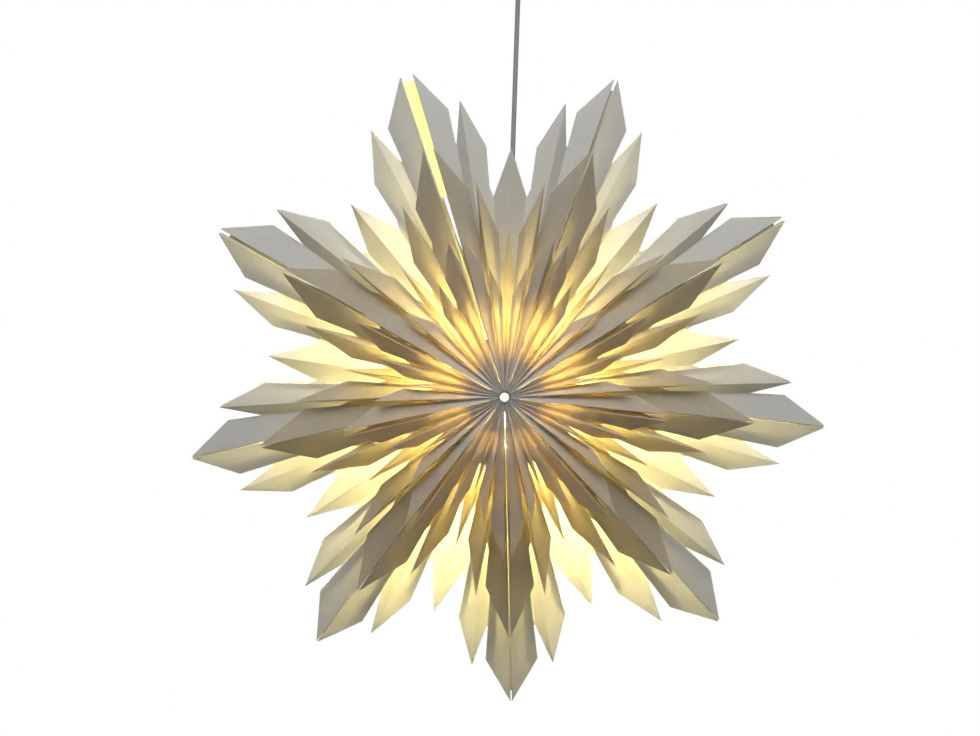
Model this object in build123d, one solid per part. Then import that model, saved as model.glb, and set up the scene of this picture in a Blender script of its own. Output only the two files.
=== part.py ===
from build123d import *
import os
from math import cos, radians, sin

# Paper star pendant: nine folded segments round a small lamp, hung by a mains cord
# from a ceiling canopy. Millimetres, +Z up, the viewer stands at -Y.
# The origin lies on the ceiling, in the middle of the bracket's top face.

# ---------------------------------------------------------------- driving dimensions
star_z = -520.0            # middle of the star below the ceiling
paper = 0.25               # folded paper
wall_inset = 0.32          # a wall's inner face stands this far off its seam

# The nine seams between segments, counter-clockwise seen from the front, in degrees.
# They are uneven because the star is folded and opened by hand.
seam_angles = (33.1, 72.1, 109.4, 153.2, 194.9, 235.8, 273.1, 314.1, 354.7)
closure_seam = 2           # the seam where the opened fan is closed on itself
# How far the walls beside each seam lean out of it, in degrees.
seam_splays = (0.35, 0.30, 1.10, 0.40, 0.12, 0.12, 0.12, 0.12, 0.12)

# Each ring of leaves is one strip pleated from wall to wall. A fold is its angle from
# the wall, its reach as a share of the ring's, and its slope back into the star.
# main: long leaf on the wall; side: next leaf; middle: short leaf in mid-segment.
# The edges, tucks and valleys between them lie behind the leaves.
half_segment = 20.0        # the half segment that the fold angles are given for

large_ring = dict(
    reach=350.0, start=66.0, depth=36.0,
    folds=dict(main=(0.0, 1.0, 0.080), main_edge=(5.3, 0.870, 0.108),
               main_tuck=(3.5, 0.800, 0.116), main_valley=(5.7, 0.760, 0.122),
               side=(8.3, 0.889, 0.090), side_edge=(13.2, 0.740, 0.114),
               side_tuck=(11.5, 0.660, 0.122), side_valley=(14.4, 0.585, 0.140)),
    middle=(0.735, 0.058))

medium_ring = dict(
    reach=269.0, start=66.0, depth=58.0,
    folds=dict(main=(0.0, 1.0, 0.037), main_edge=(7.0, 0.800, 0.082),
               main_tuck=(4.6, 0.740, 0.108), main_valley=(8.2, 0.620, 0.122),
               side=(9.6, 0.835, 0.039), side_edge=(15.8, 0.620, 0.084),
               side_tuck=(13.6, 0.550, 0.110), side_valley=(17.0, 0.470, 0.125)),
    middle=(0.645, 0.030))

small_ring = dict(
    reach=172.0, start=5.8, depth=102.0,
    folds=dict(main=(0.0, 1.0, 0.0), main_edge=(7.6, 0.800, 0.062),
               main_tuck=(5.0, 0.740, 0.100), main_valley=(9.5, 0.600, 0.150),
               side=(10.8, 0.790, 0.008), side_edge=(16.8, 0.615, 0.070),
               side_tuck=(14.4, 0.550, 0.110), side_valley=(18.0, 0.460, 0.160)),
    middle=(0.600, 0.015))

# The small ring's main leaves spring away from their walls, most beside one seam.
small_flare = 1.0
small_flare_wide = 2.0
wide_seam = 1
small_root = (0.860, 0.100)    # reach share and slope of the fold that is on the wall

wall_start = 62.0          # walls and outer rings leave this much room for the lamp
# Pasted T in each seam: a bar at the walls' inner ends and a stem along the leaves.
paste_bar_end = 88.0
paste_bar_half = 34.0
paste_stem_end = 290.0
paste_stem_half = 7.0
closure_pad = 15.0         # side of a closure pad
closure_pad_y = 26.0       # its middle, in front of and behind the lamp

# Hub
rivet_head_r = 4.8
rivet_shank_r = 1.5
washer_r = 16.0
washer_back = 98.2         # distance of the washer's inner face from mid-star
wire_r = 1.0               # stirrup wire

# Lampholder and lamp, heights above mid-star
cord_r = 2.6
run_gap = 0.3              # between pieces that turn past each other
cap_top = 52.0
cap_seat = 22.0
holder_r = 14.0
skirt_r = 13.6
skirt_end = -8.0
stirrup_z = 7.0
stirrup_ring_r = 15.7
contact_z = 8.8            # where the lamp's contact meets the tongue
globe_r = 22.5
globe_z = -36.0
glass_wall = 0.8

# Canopy
canopy_r = 48.0
canopy_floor = -56.0
canopy_wall = 1.2
grip_end = -72.0
pivot_z = -68.0            # the cord swings about this point, in the grip's mouth
swing_limit = 12.0
ear_x = 41.0
screw_z = -9.0
fixing_hole_r = 2.5        # half the width of a slot for a ceiling screw
fixing_slot = 12.0         # its length
fixing_spacing = 50.0

os.makedirs("parts", exist_ok=True)


# ---------------------------------------------------------------- helpers
def turned(points):
    """A solid turned about Z from a closed outline of (radius, height) points."""
    face = make_face(Polyline(*[(r, 0, z) for r, z in points], close=True))
    return revolve(face, Axis.Z)


def facing_front(solid):
    """Lay a solid turned about Z down, so that its +Z end points at the viewer."""
    return Rot(90, 0, 0) * solid


def polar(angle):
    return Vector(cos(radians(angle)), 0, sin(radians(angle)))


def both_sides(solid):
    """A piece in front of mid-star and its mirror image behind."""
    return Compound([solid, mirror(solid, Plane.XZ)])


def save(name, shape, lift=0.0):
    export_step(Pos(0, 0, lift) * shape, f"parts/{name}.step")


# ---------------------------------------------------------------- folded paper
class Segment:
    """The wedge between two seams: its two wall planes and where they cross."""

    def __init__(self, index):
        count = len(seam_angles)
        self.seams = (index, (index + 1) % count)
        low, high = (seam_angles[s] for s in self.seams)
        high += 360 if high < low else 0
        self.low = low + seam_splays[self.seams[0]]
        self.high = high - seam_splays[self.seams[1]]
        self.middle = (self.low + self.high) / 2
        self.scale = (self.high - self.low) / 2 / half_segment
        half = radians((self.high - self.low) / 2)
        self.apex = polar(self.middle) * (wall_inset / sin(half))

    def outward(self, side):
        """Unit vector out of the segment through its low (0) or high (1) wall."""
        if side == 0:
            return polar(self.low - 90)
        return polar(self.high + 90)

    def wall_point(self, side, radius):
        """A point of a wall's outer face, in the plane of the star."""
        angle = (self.low, self.high)[side]
        return self.apex + polar(angle) * radius + self.outward(side) * paper


def flat(*points):
    return Face(Wire.make_polygon(points, close=True))


def pleated_strip(apex, folds, start, first_wall, last_wall):
    """A strip of paper folded along rays that all leave one point.

    folds holds (angle, slope, reach) for each ray in turn. Neighbouring rays bound a
    flat facet. The two skins stand half the paper's thickness off the facets and meet
    on mitred fold lines, and both ends lie flat on the walls' planes.
    """
    rays = [polar(angle) + Vector(0, slope, 0) for angle, slope, _ in folds]
    normals = [a.cross(b).normalized() for a, b in zip(rays, rays[1:])]

    def end_mitre(wall, ray, normal):
        along = wall.cross(ray)
        return along * (paper / 2 / normal.dot(along))

    mitres = [end_mitre(first_wall, rays[0], normals[0])]
    for before, after in zip(normals, normals[1:]):
        mitres.append((before + after) * (paper / 2 / (1 + before.dot(after))))
    mitres.append(end_mitre(last_wall, rays[-1], normals[-1]))

    inner = [apex + ray * start for ray in rays]
    outer = [apex + ray * fold[2] for ray, fold in zip(rays, folds)]
    front = [([i + m for i, m in zip(line, mitres)]) for line in (inner, outer)]
    back = [([i - m for i, m in zip(line, mitres)]) for line in (inner, outer)]

    faces = []
    for i in range(len(rays) - 1):
        for skin in (front, back):
            faces.append(flat(skin[0][i], skin[1][i], skin[1][i + 1], skin[0][i + 1]))
        for rim in (0, 1):
            faces.append(flat(front[rim][i], front[rim][i + 1], back[rim][i + 1]))
            faces.append(flat(front[rim][i], back[rim][i + 1], back[rim][i]))
    for i in (0, -1):
        faces.append(flat(front[0][i], front[1][i], back[1][i], back[0][i]))
    return Solid(Shell(faces))


def ring_folds(ring, segment):
    """The folds of one ring across one segment, from its low wall to its high wall."""
    half = [(angle * segment.scale, slope, share * ring["reach"])
            for angle, share, slope in ring["folds"].values()]
    sides = [list(half), list(half)]
    if ring is small_ring:
        for side, seam in enumerate(segment.seams):
            flare = small_flare_wide if seam == wide_seam else small_flare
            main = (flare,) + half[0][1:]
            share, slope = small_root
            sides[side] = [(0.0, slope, share * ring["reach"]), main] + half[1:]
    share, slope = ring["middle"]
    folds = [(segment.low + a, s, r) for a, s, r in sides[0]]
    folds.append((segment.middle, slope, share * ring["reach"]))
    folds += [(segment.high - a, s, r) for a, s, r in reversed(sides[1])]
    return folds


def leaves(ring, segment):
    """One ring's leaves across one segment, in front and behind."""
    apex = segment.apex - Vector(0, ring["depth"], 0)
    strip = pleated_strip(apex, ring_folds(ring, segment), ring["start"],
                          segment.outward(0), segment.outward(1))
    return both_sides(strip)


def ridge_depth(ring, radius):
    """How far in front of mid-star a ring's main ridge is at a radius."""
    return ring["depth"] - ring["folds"]["main"][2] * radius


def wall_outline():
    """Half of a wall's outline, as (radius, depth): a tooth behind each main leaf."""
    share, slope = small_root
    small_tip = share * small_ring["reach"]
    edge = paper / 2
    medium_notch = 150.0
    large_notch = 215.0
    medium_tip = medium_ring["reach"]
    large_tip = large_ring["reach"]
    return [
        (wall_start, small_ring["depth"] - slope * wall_start + edge),
        (small_tip, small_ring["depth"] - slope * small_tip + edge),
        (medium_notch, ridge_depth(medium_ring, medium_notch) + edge),
        (medium_tip, ridge_depth(medium_ring, medium_tip) + edge),
        (large_notch, ridge_depth(large_ring, large_notch) + edge),
        (large_tip, ridge_depth(large_ring, large_tip) + edge),
    ]


def side_walls(segment):
    """The two flat walls of a segment, standing out of their seams."""
    half = wall_outline()
    outline = half + [(r, -depth) for r, depth in reversed(half)]
    walls = []
    for side, angle in enumerate((segment.low, segment.high)):
        plane = Plane(origin=segment.apex, x_dir=polar(angle), z_dir=segment.outward(side))
        walls.append(extrude(plane * make_face(Polyline(*outline, close=True)), paper))
    return Compound(walls)


def wedge(corners, low_y, high_y):
    """A block between two walls: corners in the plane of the star, run along Y."""
    base = [Vector(c.X, low_y, c.Z) for c in corners]
    return Solid.extrude(flat(*base), Vector(0, high_y - low_y, 0))


def seam_corners(segments, seam, first, last):
    """The four corners of the gap at a seam, between two radii."""
    before = segments[seam - 1]
    after = segments[seam]
    return [before.wall_point(1, first), before.wall_point(1, last),
            after.wall_point(0, last), after.wall_point(0, first)]


def joining_strips(segments):
    """The pasted T in each seam but the one where the fan is closed."""
    strips = []
    for seam in range(len(segments)):
        if seam != closure_seam:
            bar = seam_corners(segments, seam, wall_start + paper, paste_bar_end)
            stem = seam_corners(segments, seam, paste_bar_end, paste_stem_end)
            strips.append(wedge(bar, -paste_bar_half, paste_bar_half)
                          + wedge(stem, -paste_stem_half, paste_stem_half))
    return Compound(strips)


def closure_pads(segments):
    """Hook and loop pads that hold the closing seam, two halves at each of two places."""
    first = wall_start + 6
    a, b, c, d = seam_corners(segments, closure_seam, first, first + closure_pad)
    inner_mid = (a + d) * 0.5
    outer_mid = (b + c) * 0.5
    pads = []
    for middle in (-closure_pad_y, closure_pad_y):
        low = middle - closure_pad / 2
        high = middle + closure_pad / 2
        pads.append(wedge([a, b, outer_mid, inner_mid], low, high))
        pads.append(wedge([inner_mid, outer_mid, c, d], low, high))
    return Compound(pads)


# ---------------------------------------------------------------- hub and stirrup
def hub_washer():
    """Card washer: its cone carries the bottoms of the small ring's folds."""
    valley = small_ring["folds"]["side_valley"][2]
    top = small_ring["depth"]
    fold_room = 0.32

    def cone(radius):
        return top - valley * radius - fold_room

    boss_r = rivet_head_r + 0.1
    bore = rivet_shank_r + 0.05
    return facing_front(turned([
        (bore, washer_back), (washer_r, washer_back), (washer_r, cone(washer_r)),
        (boss_r + 0.3, cone(boss_r + 0.3)), (boss_r, top - 0.1), (bore, top - 0.1)]))


def hub_rivet():
    """Two-headed plastic rivet: the white dot in the middle of the star."""
    seat = small_ring["depth"] - 0.1
    head_height = 3.4
    tail_face = washer_back - 2 * wire_r
    tail = 1.4
    tail_r = 3.4
    shank = turned([(0, tail_face - tail), (tail_r, tail_face - tail), (tail_r, tail_face),
                    (rivet_shank_r, tail_face), (rivet_shank_r, seat), (0, seat)])
    dome_r = (rivet_head_r ** 2 + head_height ** 2) / (2 * head_height)
    ball = Pos(0, 0, seat + head_height - dome_r) * Sphere(dome_r)
    room = Pos(0, 0, seat + head_height / 2) * Cylinder(2 * rivet_head_r, head_height)
    return facing_front(shank + (ball & room))


def wire_stirrup():
    """Wire from the lampholder's ring to an eye behind each hub; it keeps the star open."""
    eye_r = 2.9
    eye_y = washer_back - wire_r
    bend_r = 3.0
    ring = Pos(0, 0, stirrup_z) * Torus(stirrup_ring_r, wire_r)
    path = FilletPolyline((0, -stirrup_ring_r, stirrup_z), (0, -eye_y, stirrup_z),
                          (0, -eye_y, eye_r), radius=bend_r)
    leg = sweep(Plane(path @ 0, z_dir=path % 0) * Circle(wire_r), path)
    eye = Pos(0, -eye_y, 0) * Rot(90, 0, 0) * Torus(eye_r, wire_r)
    arm = leg + eye
    return ring + arm + mirror(arm, Plane.XZ)


# ---------------------------------------------------------------- lampholder
def lampholder_cap():
    """Domed cap with a collar for the cord; the cord's stop hangs under its shoulder."""
    wall = 1.8
    collar_r = 6.5
    dome_foot = 33.0
    shoulder = cap_top - 6
    hole = cord_r + run_gap
    outer = Polyline((hole, 0, cap_top), (collar_r, 0, cap_top), (collar_r, 0, shoulder + 1.5))
    dome = ThreePointArc((collar_r, 0, shoulder + 1.5), (11.8, 0, 42.0), (holder_r, 0, dome_foot))
    side = Polyline((holder_r, 0, dome_foot), (holder_r, 0, cap_seat),
                    (holder_r - wall, 0, cap_seat), (holder_r - wall, 0, dome_foot))
    inner = ThreePointArc((holder_r - wall, 0, dome_foot), (10.2, 0, 40.8), (5.4, 0, shoulder - 0.5))
    neck = Polyline((5.4, 0, shoulder - 0.5), (hole, 0, shoulder - 0.5), (hole, 0, cap_top))
    return revolve(make_face(outer + dome + side + inner + neck), Axis.Z)


def lampholder_body():
    """Body with a flange over a threaded skirt, bored for the carrier and the shell."""
    flange_r = 17.0
    flange_low = stirrup_z + wire_r
    flange_high = flange_low + 3
    carrier_r = 12.0
    bore_r = 8.3
    body = turned([
        (bore_r, skirt_end), (skirt_r, skirt_end), (skirt_r, flange_low),
        (flange_r, flange_low), (flange_r, flange_high), (holder_r, flange_high),
        (holder_r, cap_seat), (carrier_r, cap_seat), (carrier_r, 10.0), (bore_r, 10.0)])
    rib_count = 18
    ribs = [Rot(0, 0, i * 360 / rib_count) * Pos(holder_r, 0, 15.5) * Box(1.0, 1.2, 6.0)
            for i in range(rib_count)]
    return body + ribs


def contact_carrier():
    """Insulating disc that seats in the body and carries both contacts."""
    disc = turned([(0, 10.0), (11.95, 10.0), (11.95, 18.0), (0, 18.0)])
    terminal_x = 6.5
    for x in (-terminal_x, terminal_x):
        disc -= Pos(x, 0, 16.0) * Cylinder(1.6, 6.0)
    return disc


def screw_shell():
    """Thin threaded sleeve that the lamp screws into, drawn with rolled ribs."""
    pitch = 3.2
    low = -6.0
    ridge = 0.35
    inner = []
    outer = []
    z = low
    while z < 9.0:
        for r_step, dz in ((0.0, 0.0), (ridge, pitch / 2)):
            inner.append((7.2 + r_step, z + dz))
            outer.append((7.55 + r_step, z + dz))
        z += pitch
    inner.append((7.2, 10.0))
    outer.append((7.55, 10.0))
    return turned(inner + outer[::-1])


def centre_contact():
    """Springy tongue under the carrier that the lamp's tip presses on."""
    pad = Pos(0, 0, contact_z + 0.25) * Cylinder(2.6, 0.5)
    leaf = Pos(3.2, 0, contact_z + 0.85) * Box(6.4, 3.0, 0.7)
    return pad + leaf


def shade_ring():
    """Ring nut that clamps the stirrup under the flange, with finger notches."""
    top = stirrup_z - wire_r - run_gap
    flange_r = 20.5
    ring = turned([
        (skirt_r + 0.4, -4.0), (16.4, -4.0), (16.4, 2.4), (flange_r, 2.4),
        (flange_r, top), (skirt_r + 0.4, top)])
    notch_count = 12
    for i in range(notch_count):
        ring -= Rot(0, 0, i * 360 / notch_count) * Pos(flange_r + 0.9, 0, 4.0) * Cylinder(2.0, 6.0)
    return ring


# ---------------------------------------------------------------- lamp
def bulb_cap():
    """Threaded metal cap of the lamp, drawn with rolled ribs."""
    pitch = 3.2
    outline = [(0, -10.0), (6.4, -10.0)]
    z = -8.4
    while z < 4.0:
        outline += [(6.4, z), (6.85, z + pitch / 2)]
        z += pitch
    outline += [(6.4, 5.0), (4.4, 7.2), (0, 7.2)]
    return turned(outline)


def bulb_contact():
    """Insulated tip of the lamp's cap."""
    return turned([(0, 7.2), (3.6, 7.2), (2.4, contact_z), (0, contact_z)])


def bulb_glass():
    """Blown globe with a neck that is cemented into the cap."""
    neck_r = 7.4
    neck_z = -10.0

    def outline(radius, neck):
        dip = 16.0
        join_x = radius * 0.62
        join_z = globe_z + (radius ** 2 - join_x ** 2) ** 0.5
        throat = ThreePointArc((neck, 0, neck_z), (neck * 1.18, 0, (neck_z + join_z) / 2 + 0.9),
                               (join_x, 0, join_z))
        bowl = ThreePointArc((join_x, 0, join_z), (radius, 0, globe_z), (0, 0, globe_z - radius))
        close = Polyline((0, 0, globe_z - radius), (0, 0, neck_z), (neck, 0, neck_z))
        return revolve(make_face(throat + bowl + close), Axis.Z)

    return outline(globe_r, neck_r) - outline(globe_r - glass_wall, neck_r - glass_wall)


def bulb_filaments():
    """Glass stem with four upright light-emitting sticks round it."""
    stem = turned([(0, -10.0), (6.4, -10.0), (2.2, -18.0), (1.6, -30.0), (0, -30.0)])
    stick_count = 4
    stick = Pos(4.4, 0, -36.0) * Cylinder(0.8, 22.0)
    spoke = Pos(2.2, 0, -26.5) * Box(4.4, 0.6, 0.6)
    sticks = [Rot(0, 0, i * 360 / stick_count) * (stick + spoke) for i in range(stick_count)]
    return stem + sticks


# ---------------------------------------------------------------- cord
def mains_cord():
    """The hanging stretch, straight under its load, and the stop on its lower end."""
    low = star_z + 34.0
    round_end = Pos(0, 0, pivot_z) * Sphere(cord_r)
    run = Pos(0, 0, (low + pivot_z) / 2) * Cylinder(cord_r, pivot_z - low)
    stop_top = star_z + cap_top - 6.5 - run_gap
    stop_height = 6.0
    stop = Pos(0, 0, stop_top - stop_height / 2) * (
        Cylinder(4.4, stop_height) - Cylinder(cord_r, stop_height))
    return Compound([run + round_end, stop])


def cord_tail():
    """The fixed stretch inside the canopy, and its two cores up to the terminals."""
    sheath_low = pivot_z + cord_r + run_gap
    sheath_high = -38.0
    core_r = 1.1
    core_x = 1.25
    terminal_x = 6.0
    terminal_z = -20.0
    sheath = Pos(0, 0, (sheath_low + sheath_high) / 2) * Cylinder(cord_r, sheath_high - sheath_low)
    cores = []
    for side in (-1, 1):
        path = FilletPolyline((side * core_x, 0, sheath_high), (side * core_x, 0, sheath_high + 5),
                              (side * terminal_x, 0, terminal_z - 6),
                              (side * terminal_x, 0, terminal_z + 4), radius=4)
        cores.append(sweep(Plane(path @ 0, z_dir=path % 0) * Circle(core_r), path))
    return Compound([sheath] + cores)


# ---------------------------------------------------------------- canopy
def ceiling_bracket():
    """Steel strap on the ceiling with turned-down ears that hold the canopy."""
    plate_t = 2.0
    width = 20.0
    ear_depth = 16.0
    strap = Pos(0, 0, -plate_t / 2) * Box(2 * ear_x, width, plate_t)
    for side in (-1, 1):
        ear = Pos(side * (ear_x - plate_t / 2), 0, -ear_depth / 2) * Box(plate_t, width, ear_depth)
        hole = Pos(side * ear_x, 0, screw_z) * Rot(0, 90, 0) * Cylinder(2.0, 4 * plate_t)
        strap = strap + ear - hole
    inner_bends = strap.edges().filter_by(Axis.Y).sort_by(Axis.Z)
    inner_bends = [e for e in inner_bends if abs(e.center().Z + plate_t) < 0.01]
    strap = fillet(inner_bends, 1.2)
    slot = extrude(SlotOverall(fixing_slot, 2 * fixing_hole_r), plate_t, both=True)
    for x in (-fixing_spacing / 2, fixing_spacing / 2):
        strap -= Pos(x, 0, -plate_t / 2) * slot
    supply_hole_r = 5.0
    return strap - Pos(0, 0, -plate_t / 2) * Cylinder(supply_hole_r, 2 * plate_t)


def canopy_cup():
    """Spun cup: straight rim, domed shoulder, flat floor with a hole for the grip."""
    wall = canopy_wall
    shoulder_z = -26.0
    floor_r = 20.0
    hole_r = 5.3
    low = canopy_floor - wall
    outside = Polyline((canopy_r - wall, 0, 0), (canopy_r, 0, 0), (canopy_r, 0, shoulder_z))
    outer_arc = ThreePointArc((canopy_r, 0, shoulder_z), (39.6, 0, -46.2), (floor_r, 0, low))
    floor = Polyline((floor_r, 0, low), (hole_r, 0, low), (hole_r, 0, canopy_floor),
                     (floor_r, 0, canopy_floor))
    inner_arc = ThreePointArc((floor_r, 0, canopy_floor), (38.8, 0, -45.3),
                              (canopy_r - wall, 0, shoulder_z))
    inside = Line((canopy_r - wall, 0, shoulder_z), (canopy_r - wall, 0, 0))
    cup = revolve(make_face(outside + outer_arc + floor + inner_arc + inside), Axis.Z)
    for side in (-1, 1):
        cup -= Pos(side * canopy_r, 0, screw_z) * Rot(0, 90, 0) * Cylinder(2.2, 6.0)
    return cup


def canopy_screws():
    """Two small screws through the cup into the bracket's ears."""
    head_r = 3.6
    screws = []
    for side in (-1, 1):
        shank = Pos(side * (ear_x - 4 + canopy_r) / 2, 0, 0) * Rot(0, 90, 0) * Cylinder(
            1.95, canopy_r - ear_x + 4)
        head = Pos(side * (canopy_r + 1.1), 0, 0) * Rot(0, 90, 0) * Cylinder(head_r, 2.2)
        slot = Pos(side * (canopy_r + 2.2), 0, 0) * Box(1.6, 0.9, 2 * head_r)
        screws.append(Pos(0, 0, screw_z) * (shank + head - slot))
    return Compound(screws)


def cord_grip():
    """Threaded bush: flange on the cup's floor, throat round the cord, flared mouth."""
    flange_r = 9.0
    flange_top = canopy_floor + 3.0
    shank_r = 5.2
    throat = cord_r + run_gap
    mouth = 5.2 - 0.9
    flare_top = pivot_z + 0.5
    return turned([
        (throat - run_gap, flange_top), (flange_r, flange_top), (flange_r, canopy_floor),
        (shank_r, canopy_floor), (shank_r, grip_end), (mouth, grip_end),
        (throat, flare_top), (throat, pivot_z + cord_r + run_gap),
        (throat - run_gap, pivot_z + cord_r + run_gap)])


def grip_nut():
    """Hexagon nut that pulls the grip tight from below."""
    top = canopy_floor - canopy_wall
    height = 6.0
    across_corners_r = 9.0
    nut = Pos(0, 0, top - height) * extrude(RegularPolygon(across_corners_r, 6), height)
    return nut - Pos(0, 0, top - height / 2) * Cylinder(5.25, 2 * height)


def terminal_block():
    """Two-way screw terminal under the bracket."""
    top = -2.0
    height = 18.0
    way_x = 6.0
    block = Pos(0, 0, top - height / 2) * Box(24.0, 14.0, height)
    block = fillet(block.edges().filter_by(Axis.Z), 2.0)
    for side in (-1, 1):
        block -= Pos(side * way_x, 0, top - height / 2) * Cylinder(1.5, 2 * height)
        block -= Pos(side * way_x, -5.0, top - height / 2) * Rot(90, 0, 0) * Cylinder(2.0, 8.0)
    return block


def terminal_screws():
    """The two clamping screws of the terminal."""
    screws = []
    for side in (-1, 1):
        screw = Pos(side * 6.0, -4.2, -11.0) * Rot(90, 0, 0) * Cylinder(1.9, 4.4)
        slot = Pos(side * 6.0, -6.4, -11.0) * Box(4.0, 1.0, 0.7)
        screws.append(screw - slot)
    return Compound(screws)


# ---------------------------------------------------------------- build
def main():
    segments = [Segment(i) for i in range(len(seam_angles))]
    for number, segment in enumerate(segments, start=1):
        save(f"large_leaves_{number}", leaves(large_ring, segment), star_z)
        save(f"medium_leaves_{number}", leaves(medium_ring, segment), star_z)
        save(f"small_leaves_{number}", leaves(small_ring, segment), star_z)
        save(f"side_walls_{number}", side_walls(segment), star_z)
    save("joining_strips", joining_strips(segments), star_z)
    save("closure_pads", closure_pads(segments), star_z)
    save("hub_washers", both_sides(hub_washer()), star_z)
    save("hub_rivets", both_sides(hub_rivet()), star_z)
    save("wire_stirrup", wire_stirrup(), star_z)
    save("lampholder_cap", lampholder_cap(), star_z)
    save("lampholder_body", lampholder_body(), star_z)
    save("contact_carrier", contact_carrier(), star_z)
    save("screw_shell", screw_shell(), star_z)
    save("centre_contact", centre_contact(), star_z)
    save("shade_ring", shade_ring(), star_z)
    save("bulb_cap", bulb_cap(), star_z)
    save("bulb_contact", bulb_contact(), star_z)
    save("bulb_glass", bulb_glass(), star_z)
    save("bulb_filaments", bulb_filaments(), star_z)
    save("mains_cord", mains_cord())
    save("cord_tail", cord_tail())
    save("ceiling_bracket", ceiling_bracket())
    save("canopy_cup", canopy_cup())
    save("canopy_screws", canopy_screws())
    save("cord_grip", cord_grip())
    save("grip_nut", grip_nut())
    save("terminal_block", terminal_block())
    save("terminal_screws", terminal_screws())


main()
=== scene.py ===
# %% [markdown]
# # A folded paper star, lit from inside
#
# The star is nine segments of white paper round a small globe lamp. Each segment
# carries three crowns of pointed leaves, one in front of the other, and the same again
# behind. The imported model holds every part. This file gives the parts their finishes,
# folds the inner crowns, the walls and the pasted strips again, closer to the
# photograph, and adds the light, the hanging cord and a plain studio.

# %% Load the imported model
from math import cos, pi, radians, sin

import bmesh
import bpy
from mathutils import Matrix, Vector


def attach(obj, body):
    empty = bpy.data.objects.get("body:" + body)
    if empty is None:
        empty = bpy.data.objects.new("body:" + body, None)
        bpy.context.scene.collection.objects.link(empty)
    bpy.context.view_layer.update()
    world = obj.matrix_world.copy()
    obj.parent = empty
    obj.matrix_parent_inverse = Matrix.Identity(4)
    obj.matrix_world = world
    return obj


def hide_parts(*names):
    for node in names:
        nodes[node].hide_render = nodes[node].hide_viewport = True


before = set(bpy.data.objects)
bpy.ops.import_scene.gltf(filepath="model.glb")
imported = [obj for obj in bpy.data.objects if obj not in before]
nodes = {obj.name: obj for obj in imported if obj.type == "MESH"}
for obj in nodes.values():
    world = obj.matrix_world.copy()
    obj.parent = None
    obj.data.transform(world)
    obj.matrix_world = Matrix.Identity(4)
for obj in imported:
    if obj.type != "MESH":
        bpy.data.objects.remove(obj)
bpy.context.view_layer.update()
star = Vector((0.0, 0.0, -0.520))      # middle of the star, metres below the ceiling
print("pieces loaded:", len(nodes))

# %% [markdown]
# ## The camera
#
# The leaf tips of each crown lie on a circle, so they tell where the camera stood. From
# 7.1 degrees above, at 2.5 m, every tip falls back onto its circle. The plumb cord leans
# 1.95 degrees in the picture, so the camera is rolled by that much. A small lens shift
# puts the hub where the photograph has it.

# %% Camera
photo_width, photo_height = 980, 736
hub_pixel = (504.8, 385.5)
camera_distance = 2.5
camera_rise = radians(7.1)
camera_roll = radians(1.95)
sensor_mm, lens_mm = 36.0, 84.2

camera = bpy.data.objects.new("camera", bpy.data.cameras.new("camera"))
bpy.context.scene.collection.objects.link(camera)
bpy.context.scene.camera = camera
camera.data.sensor_width = sensor_mm
camera.data.lens = lens_mm
camera.data.shift_x = (photo_width / 2 - hub_pixel[0]) / photo_width
camera.data.shift_y = (hub_pixel[1] - photo_height / 2) / photo_width
toward_camera = Vector((0.0, -cos(camera_rise), sin(camera_rise)))
aim = toward_camera.to_track_quat("Z", "Y").to_matrix().to_4x4()
camera.matrix_world = (Matrix.Translation(star + toward_camera * camera_distance)
                       @ aim @ Matrix.Rotation(camera_roll, 4, "Z"))
print("camera at", [round(v, 3) for v in camera.location])

# %% [markdown]
# ## The cord
#
# A round two-core cord hangs straight under the lamp's weight, from the grip's mouth
# down to the stop inside the lampholder's cap. A smooth curve with a round bevel is the
# usual way to draw a cord, and a straight one needs only a few points. The bevel is a
# metre deep, and the radius of each point scales it down to the cord's. That is because
# a curve's box grows by its points' radius too, so a small radius keeps the box true.

# %% Cord
cord_thickness = 0.0052
cord_points = [(0, 0, -0.068), (0, 0, -0.207), (0, 0, -0.347), (0, 0, -0.486)]

curve = bpy.data.curves.new("mains_cord_curve", "CURVE")
curve.dimensions = "3D"
curve.bevel_depth = 1.0                # metres, times each point's radius
curve.bevel_resolution = 6
curve.use_fill_caps = True
spline = curve.splines.new("NURBS")
spline.points.add(len(cord_points) - 1)
for point, place in zip(spline.points, cord_points):
    point.co = (*place, 1.0)
    point.radius = cord_thickness / 2
spline.order_u = 3
spline.use_endpoint_u = True
spline.resolution_u = 12
cord = bpy.data.objects.new("hanging_cord", curve)
bpy.context.scene.collection.objects.link(cord)
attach(cord, "pendant_cord")
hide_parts("mains_cord")
print("cord, mm long:", round(1000 * (cord_points[0][2] - cord_points[-1][2])))

# %% [markdown]
# ## Small helpers
#
# Colours are picked on a screen as sRGB hex codes, but a shader works with linear light,
# so one function converts them. The next adds a node, sets it and fills its sockets.
# Then come the start and the end of every material, a pair of nodes that measures how
# far from a point or an axis the surface is, and the step that hands a finished
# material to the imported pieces.

# %% Helpers
dressed = {"mains_cord"}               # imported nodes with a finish, or a piece for them


def colour(code):
    """Linear red, green, blue and alpha of an sRGB hex colour."""
    channels = [int(code[i:i + 2], 16) / 255 for i in (1, 3, 5)]
    return (*(c / 12.92 if c <= 0.04045 else ((c + 0.055) / 1.055) ** 2.4
              for c in channels), 1.0)


def add_node(tree, kind, inputs=None, **settings):
    """Add a node, set its options, and fill its inputs with values or links."""
    node = tree.nodes.new(kind)
    for name, value in settings.items():
        setattr(node, name, value)
    for socket, value in (inputs or {}).items():
        if isinstance(value, bpy.types.NodeSocket):
            tree.links.new(value, node.inputs[socket])
        else:
            node.inputs[socket].default_value = value
    return node


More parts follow.
